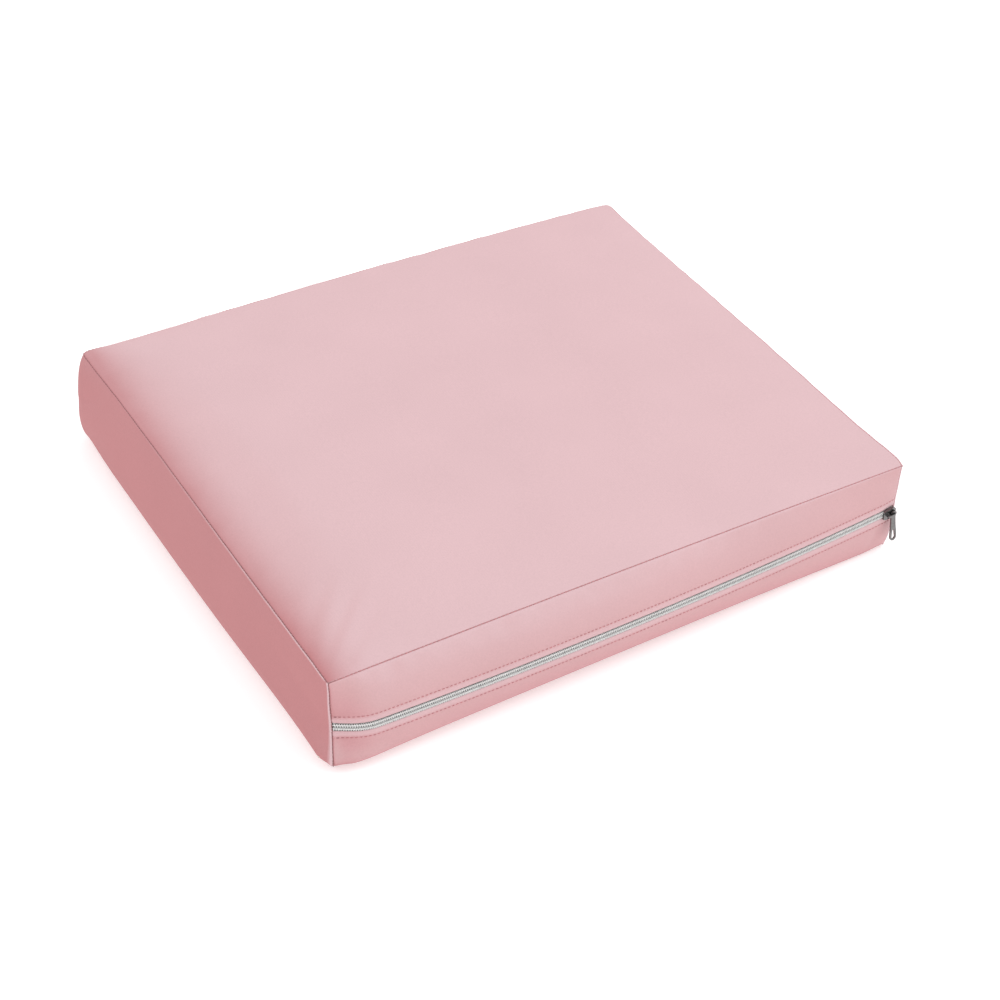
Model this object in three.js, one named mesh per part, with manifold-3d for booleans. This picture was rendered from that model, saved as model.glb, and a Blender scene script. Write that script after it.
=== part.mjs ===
// Zipped foam mat: a slab of foam in a sewn fabric cover, with a coil zipper along the front face.
//
// Millimetres. X runs along the front face to the right, Y from front to back, Z up.
// The origin is the middle of the flat underside.
//
// The cover is modelled flat-sided first. inflate() then pushes its walls out, so that every
// layer of a wall (fabric, tape, foam) keeps its distance from the next one.

import * as THREE from 'three';
import { mergeVertices } from 'three/addons/utils/BufferGeometryUtils.js';
import Module from 'manifold-3d';

const wasm = await Module();
wasm.setup();

// ---------- Driving dimensions ----------

const LENGTH = 457; // 18 in between the corner seams, along X
const DEPTH = 406; // 16 in, along Y
const HEIGHT = 76; // 3 in between the top and bottom seams
const BACK_CORNER_RADIUS = 12; // the wall band turns the back corners in a curve
const SIDE_BULGE = 10; // how far the side and back walls stand out at mid height
const FRONT_BULGE = 13.8; // how far the front face stands out at its crest
const FRONT_CREST = -90; // x of the crest: the cover is fuller towards the zipper's left end
const FRONT_RADIUS = 4000; // plan radius of the front face, which the zipper follows
const ARC_LEFT = -208; // the front arc holds between these, then turns to the corners
const ARC_RIGHT = 226.4;

const FABRIC = 1; // thickness of the cover fabric with its backing
const CLEARANCE = 0.3; // gap between neighbouring pieces
const SEAM_NOTCH = 1.1; // each panel stops this far short of the edge where it meets another
const THREAD = 0.5; // width of a row of stitches
const THREAD_INSET = 0.25; // a seam's thread lies this far inside the edge of the cover

const ZIPPER_HEIGHT = 37; // centre line of the zipper above the underside
const ZIPPER_OPENING = 6.8; // between the folded fabric edges
const FLAT_BAND = 10; // the front face is upright over this height around the zipper
const TOPSTITCH_OFFSET = 9.2; // rows of stitches above and below the zipper's centre line

const TAPE_THICKNESS = 0.5;
const TAPE_SLOT = 2.4; // between the two tapes' inner edges
const TAPE_WIDTH = 13; // each tape
const COIL_WIDTH = 6; // both meshed halves, a size 5 coil
const COIL_HEIGHT = 2;
const COIL_WALL = 0.4;
const CORD_WIDTH = 1.4;
const CORD_HEIGHT = 0.6;

const SLIDER_LENGTH = 11.2;
const SLIDER_X = 221; // the slider's centre with the zipper closed
const SLIDER_THROAT = 7.8; // width at the end that the closed chain leaves
const SLIDER_SHOULDER = 9.4; // width at the end that faces the open chain
const SLIDER_PLATE = 1;
const POST_WIDTH = 1.6;
const CROWN_LEG = 1.6;
const CROWN_SPAN = 5; // between the centres of the crown's two legs
const CROWN_RIGHT_LEG = 2.6; // centre of the leg that holds the pull, from the slider's centre
const CROWN_WINDOW = 2; // height of the opening under the crown
const CROWN_STRAP = 0.9;

const PULL_THICKNESS = 1.2;
const PULL_LENGTH = 23; // from the pivot to the far end
const PULL_KINK = THREE.MathUtils.degToRad(10); // the tab is bent away from the fabric
const PULL_KINK_AT = 3.2;

// ---------- Worked out from them ----------

const HALF_LENGTH = LENGTH / 2;
const FRONT = -DEPTH / 2;
const BACK = DEPTH / 2;
const STRIP_END = HALF_LENGTH - SEAM_NOTCH;
const TAPE_END = STRIP_END - 2 * CLEARANCE;
const CHAIN_END = SLIDER_X + 1.2; // against the slider's post, with the zipper closed

// Depths behind the fabric's outer face, and heights out from the tape's outer face
const TAPE_DEPTH = FABRIC + CLEARANCE;
const FABRIC_OUT = TAPE_DEPTH;
const COIL_BASE = CLEARANCE;
const COIL_TOP = COIL_BASE + COIL_HEIGHT;
const TOP_PLATE = COIL_TOP + CLEARANCE;
const CROWN_BASE = TOP_PLATE + SLIDER_PLATE;
const CROWN_TOP = CROWN_BASE + CROWN_WINDOW + CROWN_STRAP;
const BOTTOM_PLATE = -TAPE_THICKNESS - CLEARANCE - SLIDER_PLATE;
const FLANGE_BASE = FABRIC_OUT + CLEARANCE;
const FOAM_INSET = FABRIC + 2 * CLEARANCE;
const FOAM_FRONT_INSET = TAPE_DEPTH - BOTTOM_PLATE + CLEARANCE;
const FRONT_WALL_DEPTH = FOAM_FRONT_INSET + FABRIC;

const SIDE_STEPS = 14;
const CORNER_STEPS = 5;
const WALL_STEPS = 8;
const FRONT_STEPS = 46;

// ---------- The puffed shape of the cover ----------

// How far the front face stands out at x, at the zipper's height.
function frontBulge(x) {
  const onArc = THREE.MathUtils.clamp(x, ARC_LEFT, ARC_RIGHT);
  const sagitta = FRONT_RADIUS - Math.sqrt(FRONT_RADIUS ** 2 - (onArc - FRONT_CREST) ** 2);
  const share = (HALF_LENGTH - Math.abs(x)) / (HALF_LENGTH - Math.abs(onArc));
  return (FRONT_BULGE - sagitta) * Math.min(1, share);
}

// 1 in the upright band around the zipper, falling to 0 at the top and bottom seams.
function frontProfile(z) {
  const fromBand = Math.max(0, Math.abs(z - ZIPPER_HEIGHT) - FLAT_BAND / 2);
  const reach = (z > ZIPPER_HEIGHT ? HEIGHT - ZIPPER_HEIGHT : ZIPPER_HEIGHT) - FLAT_BAND / 2;
  return 1 - (fromBand / reach) ** 2;
}

// How far the side and back walls stand out. They start from nothing at the front corners.
function sideBulge(y, z) {
  const fade = 1 - ((BACK - y) / DEPTH) ** 12;
  const profile = 1 - ((2 * z) / HEIGHT - 1) ** 2;
  return SIDE_BULGE * fade * profile;
}

// Moves the walls of a flat-sided piece out to the puffed shape.
function inflate(geometry) {
  const position = geometry.attributes.position;
  const core = HALF_LENGTH - BACK_CORNER_RADIUS;
  const point = new THREE.Vector3();
  for (let i = 0; i < position.count; i++) {
    point.fromBufferAttribute(position, i);
    const { x, y, z } = point;
    const outward = new THREE.Vector2(
      x - THREE.MathUtils.clamp(x, -core, core),
      Math.max(0, y - (BACK - BACK_CORNER_RADIUS))
    ).normalize();
    outward.multiplyScalar(sideBulge(Math.max(y, FRONT), z));
    const onFront = y < FRONT + FRONT_WALL_DEPTH && Math.abs(x) < HALF_LENGTH - FABRIC;
    const forward = onFront ? frontBulge(x) * frontProfile(z) : 0;
    position.setXYZ(i, x + outward.x, y + outward.y - forward, z);
  }
  return geometry;
}

// ---------- Outlines and helpers ----------

// The mat's plan outline from the front left corner round the back to the front right corner,
// moved in by inset at the sides and back, and starting at y = start. A wall that bulges needs
// its straight sides in steps, closest together at the front where the bulge begins.
function wallLine(inset, start, sideSteps = 1) {
  const side = HALF_LENGTH - inset;
  const turn = BACK - BACK_CORNER_RADIUS;
  const radius = BACK_CORNER_RADIUS - inset;
  const left = [];
  for (let i = 0; i < sideSteps; i++) {
    const station = FRONT + (turn - FRONT) * (i / sideSteps) ** 1.6;
    left.push(new THREE.Vector2(-side, i === 0 ? start : station));
  }
  for (let i = 0; i <= CORNER_STEPS; i++) {
    const angle = (Math.PI / 2) * (i / CORNER_STEPS);
    const x = -side + radius * (1 - Math.cos(angle));
    left.push(new THREE.Vector2(x, turn + radius * Math.sin(angle)));
  }
  const right = left.map((p) => new THREE.Vector2(-p.x, p.y)).reverse();
  return [...left, ...right];
}

function extruded(shape, bottom, top, steps = 1) {
  const geometry = new THREE.ExtrudeGeometry(shape, { depth: top - bottom, steps, bevelEnabled: false });
  return geometry.translate(0, 0, bottom);
}

// A bar along the whole front face, given by its heights and its depths behind the fabric's face.
function frontBar(bottom, top, nearDepth, farDepth, end = STRIP_END, steps = 1) {
  const geometry = new THREE.BoxGeometry(2, farDepth - nearDepth, top - bottom, FRONT_STEPS, 1, steps);
  geometry.translate(0, FRONT + (nearDepth + farDepth) / 2, (bottom + top) / 2);
  const position = geometry.attributes.position;
  const lastStation = 1 - 2 / FRONT_STEPS;
  for (let i = 0; i < position.count; i++) {
    const u = position.getX(i);
    const inArc = Math.abs(u) < lastStation + 1e-6;
    const alongArc = THREE.MathUtils.mapLinear(u, -lastStation, lastStation, ARC_LEFT, ARC_RIGHT);
    position.setX(i, inArc ? alongArc : Math.sign(u) * end);
  }
  return inflate(geometry);
}

// A length of constant section along the zipper, from the left corner to the end of the chain.
// The section's x is height above the centre line and its y is height out from the tape's face.
function alongZipper(section) {
  const geometry = extruded(section, 0, FRONT_STEPS, FRONT_STEPS);
  const position = geometry.attributes.position;
  for (let i = 0; i < position.count; i++) {
    const up = position.getX(i);
    const out = position.getY(i);
    const station = position.getZ(i);
    const onArc = THREE.MathUtils.mapLinear(station, 1, FRONT_STEPS, ARC_LEFT, CHAIN_END);
    const along = station < 0.5 ? -TAPE_END : onArc;
    position.setXYZ(i, along, FRONT + TAPE_DEPTH - out, ZIPPER_HEIGHT + up);
  }
  return inflate(geometry);
}

function rectangle(left, bottom, right, top) {
  return new THREE.Shape([
    new THREE.Vector2(left, bottom),
    new THREE.Vector2(right, bottom),
    new THREE.Vector2(right, top),
    new THREE.Vector2(left, top)
  ]);
}

function toManifold(geometry) {
  const bare = geometry.clone();
  bare.deleteAttribute('normal');
  bare.deleteAttribute('uv');
  const merged = mergeVertices(bare, 1e-4);
  return new wasm.Manifold(new wasm.Mesh({
    numProp: 3,
    vertProperties: new Float32Array(merged.attributes.position.array),
    triVerts: new Uint32Array(merged.index.array)
  }));
}

function toGeometry(manifold) {
  const mesh = manifold.getMesh();
  const geometry = new THREE.BufferGeometry();
  geometry.setAttribute('position', new THREE.BufferAttribute(mesh.vertProperties, 3));
  geometry.setIndex(new THREE.BufferAttribute(mesh.triVerts, 1));
  geometry.computeVertexNormals();
  return geometry;
}

function joined(...geometries) {
  const [first, ...rest] = geometries.map(toManifold);
  return toGeometry(rest.reduce((whole, piece) => whole.add(piece), first));
}

// ---------- Cover and foam ----------

function foamCore() {
  const outline = new THREE.Shape(wallLine(FOAM_INSET, FRONT + FOAM_FRONT_INSET, SIDE_STEPS));
  for (let i = FRONT_STEPS; i >= 1; i--) {
    const x = (HALF_LENGTH - FOAM_INSET) * ((2 * i) / FRONT_STEPS - 1);
    outline.lineTo(x, FRONT + FOAM_FRONT_INSET);
  }
  return inflate(extruded(outline, FOAM_INSET, HEIGHT - FOAM_INSET, WALL_STEPS));
}

function facePanel(bottom) {
  const outline = new THREE.Shape(wallLine(SEAM_NOTCH, FRONT + SEAM_NOTCH));
  return extruded(outline, bottom, bottom + FABRIC);
}

function wallBand() {
  const outer = wallLine(0, FRONT + SEAM_NOTCH, SIDE_STEPS);
  const inner = wallLine(FABRIC, FRONT + SEAM_NOTCH, SIDE_STEPS);
  const section = new THREE.Shape([...outer, ...inner.reverse()]);
  return inflate(extruded(section, SEAM_NOTCH, HEIGHT - SEAM_NOTCH, WALL_STEPS));
}

function frontStrip(bottom, top) {
  return frontBar(bottom, top, 0, FABRIC, STRIP_END, WALL_STEPS);
}

// The row of stitches round the top or bottom edge, where a face panel meets the walls.
function edgeSeam(bottom) {
  const inside = THREAD_INSET + THREAD;
  const outer = new THREE.Shape(wallLine(THREAD_INSET, FRONT + THREAD_INSET));
  const inner = new THREE.Shape(wallLine(inside, FRONT + inside));
  const slab = toManifold(extruded(outer, bottom, bottom + THREAD));
  return toGeometry(slab.subtract(toManifold(extruded(inner, bottom - THREAD, bottom + 2 * THREAD))));
}

function cornerSeam(side) {
  const centre = THREAD_INSET + THREAD / 2;
  const geometry = new THREE.BoxGeometry(THREAD, THREAD, HEIGHT - 2 * SEAM_NOTCH);
  return geometry.translate(side * (HALF_LENGTH - centre), FRONT + centre, HEIGHT / 2);
}

function topstitch(offset) {
  const bottom = ZIPPER_HEIGHT + offset - THREAD / 2;
  return frontBar(bottom, bottom + THREAD, -CLEARANCE - THREAD, -CLEARANCE);
}

// ---------- Zipper, whose upper half has side 1 and lower half side -1 ----------

function tape(side) {
  const inner = ZIPPER_HEIGHT + (side * TAPE_SLOT) / 2;
  const outer = inner + side * TAPE_WIDTH;
  const [bottom, top] = side > 0 ? [inner, outer] : [outer, inner];
  return frontBar(bottom, top, TAPE_DEPTH, TAPE_DEPTH + TAPE_THICKNESS, TAPE_END, 4);
}

// Where each half of the chain lies above or below the centre line.
function coilSpan(side) {
  const near = side * (CLEARANCE / 2);
  const far = side * (COIL_WIDTH / 2);
  return [Math.min(near, far), Math.max(near, far)];
}

function coil(side) {
  const [low, high] = coilSpan(side);
  const section = rectangle(low, COIL_BASE, high, COIL_TOP);
  const bore = rectangle(low + COIL_WALL, COIL_BASE + COIL_WALL, high - COIL_WALL, COIL_TOP - COIL_WALL);
  section.holes.push(bore);
  return alongZipper(section);
}

function cord(side) {
  const [low, high] = coilSpan(side);
  const middle = (low + high) / 2;
  const centre = (COIL_BASE + COIL_TOP) / 2;
  const section = rectangle(
    middle - CORD_WIDTH / 2, centre - CORD_HEIGHT / 2, middle + CORD_WIDTH / 2, centre + CORD_HEIGHT / 2
  );
  return alongZipper(section);
}

// ---------- Slider, drawn flat: x along the zipper, y across it, z out from the tape ----------

// The slider's outline, narrower by inset, with the throat at the left and shoulders at the right.
function sliderOutline(inset) {
  const end = SLIDER_LENGTH / 2 - inset;
  const throat = SLIDER_THROAT / 2 - inset;
  const shoulder = SLIDER_SHOULDER / 2 - inset;
  const round = 1.6;
  const outline = new THREE.Shape();
  outline.moveTo(-end, -throat + round);
  outline.quadraticCurveTo(-end, -throat, -end + round, -throat);
  outline.lineTo(end - 2 * round, -shoulder);
  outline.quadraticCurveTo(end, -shoulder, end, -shoulder + 2 * round);
  outline.lineTo(end, shoulder - 2 * round);
  outline.quadraticCurveTo(end, shoulder, end - 2 * round, shoulder);
  outline.lineTo(-end + round, throat);
  outline.quadraticCurveTo(-end, throat, -end, throat - round);
  return outline;
}

// A side rail that hangs from the top plate beside the coil.
function sliderFlange(side) {
  const plate = toManifold(extruded(sliderOutline(0), FLANGE_BASE, TOP_PLATE + SLIDER_PLATE / 2));
  const inner = COIL_WIDTH / 2 + CLEARANCE;
  const [low, high] = side > 0 ? [inner, SLIDER_SHOULDER] : [-SLIDER_SHOULDER, -inner];
  const keep = toManifold(extruded(rectangle(-SLIDER_LENGTH, low, SLIDER_LENGTH, high), 0, CROWN_TOP));
  return toGeometry(plate.intersect(keep));
}

// The wedge between the plates that parts the two halves of the chain.
function sliderPost() {
  const end = SLIDER_LENGTH / 2 - 0.4;
  const wedge = new THREE.Shape();
  wedge.moveTo(1.6, 0);
  wedge.lineTo(3.4, -POST_WIDTH / 2);
  wedge.lineTo(end, -POST_WIDTH / 2);
  wedge.lineTo(end, POST_WIDTH / 2);
  wedge.lineTo(3.4, POST_WIDTH / 2);
  return extruded(wedge, BOTTOM_PLATE + SLIDER_PLATE / 2, TOP_PLATE + SLIDER_PLATE / 2);
}

// The arched loop on the face, drawn in x and z and then stood up.
function sliderCrown() {
  const left = CROWN_RIGHT_LEG - CROWN_SPAN - CROWN_LEG / 2;
  const right = CROWN_RIGHT_LEG + CROWN_LEG / 2;
  const foot = CROWN_BASE - SLIDER_PLATE / 2;
  const underStrap = CROWN_BASE + CROWN_WINDOW;
  const round = 1.2;
  const arch = new THREE.Shape();
  arch.moveTo(left, foot);
  arch.lineTo(left + CROWN_LEG, foot);
  arch.lineTo(left + CROWN_LEG, underStrap);
  arch.lineTo(right - CROWN_LEG, underStrap);
  arch.lineTo(right - CROWN_LEG, foot);
  arch.lineTo(right, foot);
  arch.lineTo(right, CROWN_TOP - round);
  arch.quadraticCurveTo(right, CROWN_TOP, right - round, CROWN_TOP);
  arch.lineTo(left + round, CROWN_TOP);
  arch.quadraticCurveTo(left, CROWN_TOP, left, CROWN_TOP - round);
  return extruded(arch, -CROWN_LEG / 2, CROWN_LEG / 2).rotateX(Math.PI / 2);
}

function sliderBody() {
  return joined(
    extruded(sliderOutline(0), TOP_PLATE, TOP_PLATE + SLIDER_PLATE),
    extruded(sliderOutline(0), BOTTOM_PLATE, BOTTOM_PLATE + SLIDER_PLATE),
    sliderFlange(1),
    sliderFlange(-1),
    sliderPost(),
    sliderCrown()
  );
}

// ---------- Pull tab, drawn flat: its eye round the origin and the tab along -y ----------

function pullEye() {
  const eyeRadius = 2.6;
  const holeRadius = 1.4;
  const neck = 2.1;
  const eye = new THREE.Shape();
  const start = Math.asin(neck / eyeRadius);
  eye.absarc(0, 0, eyeRadius, start - Math.PI / 2, 1.5 * Math.PI - start, false);
  eye.lineTo(-neck, -PULL_KINK_AT - 0.2);
  eye.lineTo(neck, -PULL_KINK_AT - 0.2);
  const hole = new THREE.Path();
  hole.absarc(0, 0, holeRadius, 0, 2 * Math.PI, true);
  eye.holes.push(hole);
  return extruded(eye, 0, PULL_THICKNESS);
}

function pullBlade() {
  const endRadius = 3;
  const endCentre = -PULL_LENGTH + endRadius;
  const neck = 2.1;
  const blade = new THREE.Shape();
  blade.moveTo(neck, -PULL_KINK_AT + 0.2);
  blade.lineTo(-neck, -PULL_KINK_AT + 0.2);
  blade.bezierCurveTo(-neck, -12, -endRadius, -15, -endRadius, endCentre);
  blade.absarc(0, endCentre, endRadius, Math.PI, 2 * Math.PI, false);
  blade.bezierCurveTo(endRadius, -15, neck, -12, neck, -PULL_KINK_AT + 0.2);
  const slotRadius = 1.6;
  const slotTop = -14.8;
  const slotTopRadius = 1;
  const slot = new THREE.Path();
  slot.absarc(0, slotTop, slotTopRadius, Math.PI, 0, true);
  slot.absarc(0, endCentre, slotRadius, 0, -Math.PI, true);
  blade.holes.push(slot);
  const geometry = extruded(blade, 0, PULL_THICKNESS);
  geometry.translate(0, PULL_KINK_AT, 0).rotateX(-PULL_KINK);
  return geometry.translate(0, -PULL_KINK_AT, 0);
}

function pullTab() {
  return joined(pullEye(), pullBlade());
}

// ---------- Materials and assembly ----------

const material = (color, roughness, metalness = 0) =>
  new THREE.MeshStandardMaterial({ color, roughness, metalness });

const fabric = material('#dcaeb4', 0.8);
const foam = material('#f3ecd9', 0.95);
const tapeCloth = material('#d8d6d4', 0.85);
const nylon = material('#e4e3e1', 0.45);
const thread = material('#c07f88', 0.7);
const nickel = material('#8f8d8b', 0.35, 1);

function named(name, geometry, finish) {
  const mesh = new THREE.Mesh(geometry, finish);
  mesh.name = name;
  return mesh;
}

// Sets a piece that was drawn flat against the closed zipper, at the slider's place.
function onSlider(mesh, along, out) {
  mesh.rotation.x = Math.PI / 2;
  mesh.position.set(along, -out, 0);
  return mesh;
}

const mat = new THREE.Group();

mat.add(
  named('foam_core', foamCore(), foam),
  named('top_panel', facePanel(HEIGHT - FABRIC), fabric),
  named('bottom_panel', facePanel(0), fabric),
  named('wall_band', wallBand(), fabric),
  named('front_upper_strip', frontStrip(ZIPPER_HEIGHT + ZIPPER_OPENING / 2, HEIGHT - SEAM_NOTCH), fabric),
  named('front_lower_strip', frontStrip(SEAM_NOTCH, ZIPPER_HEIGHT - ZIPPER_OPENING / 2), fabric),
  named('top_seam_thread', edgeSeam(HEIGHT - THREAD_INSET - THREAD), thread),
  named('bottom_seam_thread', edgeSeam(THREAD_INSET), thread),
  named('left_corner_seam_thread', cornerSeam(-1), thread),
  named('right_corner_seam_thread', cornerSeam(1), thread),
  named('upper_topstitch_thread', topstitch(TOPSTITCH_OFFSET), thread),
  named('lower_topstitch_thread', topstitch(-TOPSTITCH_OFFSET), thread),
  named('zipper_tape_upper', tape(1), tapeCloth),
  named('zipper_tape_lower', tape(-1), tapeCloth),
  named('zipper_coil_upper', coil(1), nylon),
  named('zipper_coil_lower', coil(-1), nylon),
  named('zipper_cord_upper', cord(1), nylon),
  named('zipper_cord_lower', cord(-1), nylon)
);

// The slider turns with the front face's arc, so that its channel lies along the chain.
const slider = new THREE.Group();
slider.position.set(SLIDER_X, FRONT + TAPE_DEPTH - frontBulge(SLIDER_X), ZIPPER_HEIGHT);
slider.rotation.z = Math.asin((SLIDER_X - FRONT_CREST) / FRONT_RADIUS);
const pullOut = CROWN_BASE + (CROWN_WINDOW - PULL_THICKNESS) / 2;
slider.add(
  onSlider(named('slider_body', sliderBody(), nickel), 0, 0),
  onSlider(named('pull_tab', pullTab(), nickel), CROWN_RIGHT_LEG, pullOut)
);
mat.add(slider);

export default mat;
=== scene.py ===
# Looks of the zipped foam mat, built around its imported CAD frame.
#
# Metres, on the frame's axes: X right along the front face, Y from front to back, Z up.
# The cover is laid out as one closed grid, puffed out by a cloth simulation, and then cut
# along its seams into the five fabric panels. Thread, zipper and foam are built to fit it.

import math
import random

import bmesh
import bpy
import numpy as np
from mathutils import Matrix, Vector, noise
from mathutils.bvhtree import BVHTree


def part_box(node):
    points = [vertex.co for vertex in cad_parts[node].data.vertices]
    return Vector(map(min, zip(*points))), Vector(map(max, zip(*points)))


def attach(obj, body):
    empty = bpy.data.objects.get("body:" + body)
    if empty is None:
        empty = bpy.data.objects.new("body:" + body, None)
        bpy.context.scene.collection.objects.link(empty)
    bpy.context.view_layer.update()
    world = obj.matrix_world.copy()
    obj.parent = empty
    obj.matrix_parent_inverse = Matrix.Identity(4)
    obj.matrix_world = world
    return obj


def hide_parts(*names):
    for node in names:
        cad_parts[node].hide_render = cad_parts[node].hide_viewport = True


MM = 0.001
random.seed(7)

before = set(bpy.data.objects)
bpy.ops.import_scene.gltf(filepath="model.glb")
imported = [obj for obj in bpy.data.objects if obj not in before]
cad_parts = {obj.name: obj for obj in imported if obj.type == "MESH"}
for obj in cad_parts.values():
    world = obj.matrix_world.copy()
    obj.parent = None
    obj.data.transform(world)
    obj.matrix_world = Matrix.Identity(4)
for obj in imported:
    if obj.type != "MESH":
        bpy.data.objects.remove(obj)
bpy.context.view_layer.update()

# ---------- Sizes read from the frame ----------

THREAD_INSET = 0.25 * MM  # the CAD seam threads lie this far inside the seam lines
seam_low, seam_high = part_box("top_seam_thread")
SIDE = seam_high.x + THREAD_INSET
FRONT = seam_low.y - THREAD_INSET
BACK = seam_high.y + THREAD_INSET
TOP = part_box("top_panel")[1].z
FRONT_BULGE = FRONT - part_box("front_upper_strip")[0].y
ZIPPER_Z = (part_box("zipper_coil_upper")[0].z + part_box("zipper_coil_lower")[1].z) / 2
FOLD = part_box("front_upper_strip")[0].z - ZIPPER_Z
TOPSTITCH = (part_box("upper_topstitch_thread")[0].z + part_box("upper_topstitch_thread")[1].z) / 2 - ZIPPER_Z
COIL_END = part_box("zipper_coil_upper")[1].x
SLIDER_X = (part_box("slider_body")[0].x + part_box("slider_body")[1].x) / 2

# ---------- Driving dimensions ----------

FRONT_RADIUS = 4000 * MM  # plan radius of the front face
FRONT_CREST = -90 * MM  # the front face stands furthest out here
ARC_LEFT = -208 * MM  # beyond the ends of its arc it turns in to the corner seams
ARC_RIGHT = 226.4 * MM
TURN_SOFTNESS = 5 * MM  # rounds those turns
BACK_RADIUS = 4.5 * MM  # plan radius of the two back corners
BACK_SPREAD = 3.5 * MM  # each side runs outward this much from front to back
CORNER_SPREAD = 3.5 * MM  # and the back corners reach this much further
BACK_BOW = 2.5 * MM  # the middle of the back stands out this far
SIDE_BOW = 1.2 * MM  # and the middle of each side this far
RIGHT_PUFF = 2.6 * MM  # the right side swells this much behind its front corner
PUFF_PLACE = 12 * MM  # most of all this far behind it
CELL = 5 * MM  # size of the cover's grid cells
SEAM_RISE = 1.5 * MM  # the top seam runs this much higher in the middle of each side
LEAN = 2 * MM  # the left back corner is this much too high, and the right one too low
TIP_LIFT = 2 * MM  # the tip of the left back corner stands up this much more
TIP_REACH = 18 * MM
CROWN = 1.4 * MM  # how far the top panel stands above its seams
LEFT_HUMP = 7 * MM  # the top panel swells beside its left seam
HUMP_WIDTH = 20 * MM
HUMP_FADE = 150 * MM
SIDE_BULGE = 12.3 * MM  # the side and back walls stand out this far near the floor
FOOT_BULGE = 8.5 * MM  # the front face's lower edge stands out this far at the left corner
CORNER_DRAW = 1.6 * MM  # the foot of each front corner seam is drawn in
LEFT_FOOT = 7.5 * MM  # the foot of the left wall stands out this much more at its front corner
LEFT_FOOT_REACH = 42 * MM
LEFT_FOOT_HEIGHT = 22 * MM
SEAM_FOOT = 0.55  # the foot of the corner seam goes along to the left by this share of it
FRONT_FOOT = 0.65  # and the front face beside it stands out by this share, which fades faster
TUCK = 2 * MM  # the lower right front corner is rounded off this far
TUCK_HEIGHT = 24 * MM  # from this high
TUCK_REACH = 14 * MM
CREASE_DEPTH = 1.7 * MM  # the lower strip is creased below the closed slider
CREASE_WIDTH = 3 * MM
BOTTOM_LIFT = 0.8 * MM  # the bottom seam runs this far above the floor
BOTTOM_INSET = 1.5 * MM  # and this far in from the top seam
BOTTOM_CURL = 8 * MM  # the walls start to turn in this far above the bottom seam
BOTTOM_ROLL = 16 * MM  # width of the bottom panel's rise to its seam
CORNER_PUFF = 5.5 * MM  # extra bulge of the rounded back corners
PUCKER = 0.45 * MM  # height of the gathers along the seams
SIM_CAP = 2.4 * MM  # the simulation moves no point further than this

FABRIC = 0.4 * MM  # thickness of the fabric pieces
LIP = 0.3  # place of the row that rounds a seam's edge, as a share of a cell
SEAM_GAP = 0.04 * MM  # half the open width of a seam
LEFT_GAP = 4.5  # the seams at the left end are pulled open this many times wider
LIP_RISE = 0.15 * MM  # the fabric swells beside a seam
BEAD = 0.14  # the same, for the wall band's edges, which stand up in a bead
BEAD_RISE = 1.1 * MM  # at the front; the bead fades away towards the back
BESIDE_BEAD = 0.34  # place of the row where the bead ends
SEAM_MOUTH = 0.2 * MM  # the panels turn in at this depth
SEAM_TUCK = 1.8 * MM  # depth of the seam's inner edge
STITCH_SINK = 0.4 * MM  # the rows of topstitching pull the fabric in
HEM_PUFF = 0.25 * MM  # the hem beside the zipper swells this much
HEM_HIGHLIGHT = 0.65  # how much painted highlight the hem gets, from 0 to 1
HIGHLIGHT_ATTRIBUTE = "painted_highlight"  # the vertex value that holds the painted highlight

TAPE_DEPTH = 1.3 * MM  # the tape's outer face behind the fabric's
ZIPPER_INSET = 1.6 * MM  # the zipper starts and ends this far inside the corner seams
STITCH_PITCH = 3 * MM
STITCH_LENGTH = 2.3 * MM
THREAD_RADIUS = 0.3 * MM

COIL_PITCH = 1.4 * MM
COIL_WIRE = 0.3 * MM  # radius of the coil's nylon wire
COIL_SIDES = 6
COIL_STEPS = 10  # points in one turn


# ---------- The cover's grid ----------

COLUMNS = round(2 * SIDE / CELL)
ROWS = round((BACK - FRONT) / CELL)


def wall_heights():
    """Heights of the wall's rows from the top seam to the bottom seam, and the two at the zipper."""
    near = [TOPSTITCH + 3 * MM, TOPSTITCH, (TOPSTITCH + FOLD) / 2, FOLD]
    above = np.linspace(TOP - ZIPPER_Z, near[0], 6, endpoint=False).tolist() + near
    below = near[::-1] + np.linspace(near[0], ZIPPER_Z - BOTTOM_LIFT, 5).tolist()[1:]
    heights = [ZIPPER_Z + h for h in above] + [ZIPPER_Z - h for h in below]
    return heights, len(above) - 1


HEIGHTS, UPPER_FOLD_ROW = wall_heights()
LOWER_FOLD_ROW = UPPER_FOLD_ROW + 1
LAST_ROW = len(HEIGHTS) - 1


def front_bulge(x):
    """How far the front face stands out at x, at the zipper's height."""
    on_arc = FRONT_BULGE - FRONT_RADIUS + math.sqrt(FRONT_RADIUS**2 - (x - FRONT_CREST) ** 2)
    end = ARC_LEFT if x < 0 else ARC_RIGHT
    at_end = FRONT_BULGE - (end - FRONT_CREST) ** 2 / (2 * FRONT_RADIUS)
    turned = at_end * max(0, SIDE - abs(x)) / (SIDE - abs(end))
    blend = max(0, 1 - abs(on_arc - turned) / TURN_SOFTNESS)
    return min(on_arc, turned) - TURN_SOFTNESS * blend**2 / 4


def front_profile(z):
    """Share of the front bulge at height z: all of it in the upright band around the zipper."""
    band = 5 * MM
    away = max(0, abs(z - ZIPPER_Z) - band)
    if z > ZIPPER_Z:
        return 1 - (away / (TOP - ZIPPER_Z - band)) ** 2
    return 1 - (away / (ZIPPER_Z - BOTTOM_LIFT - band)) ** 2.6


def front_foot(x, z):
    """The belly of the lower edge, which is largest at the left corner."""
    along = ((SIDE - x) / (2 * SIDE)) ** 3
    at_corner = min(1, (SIDE - abs(x)) / (8 * MM))
    return FOOT_BULGE * along * at_corner * math.exp(-(((z - 4 * MM) / (9 * MM)) ** 2))


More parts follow.
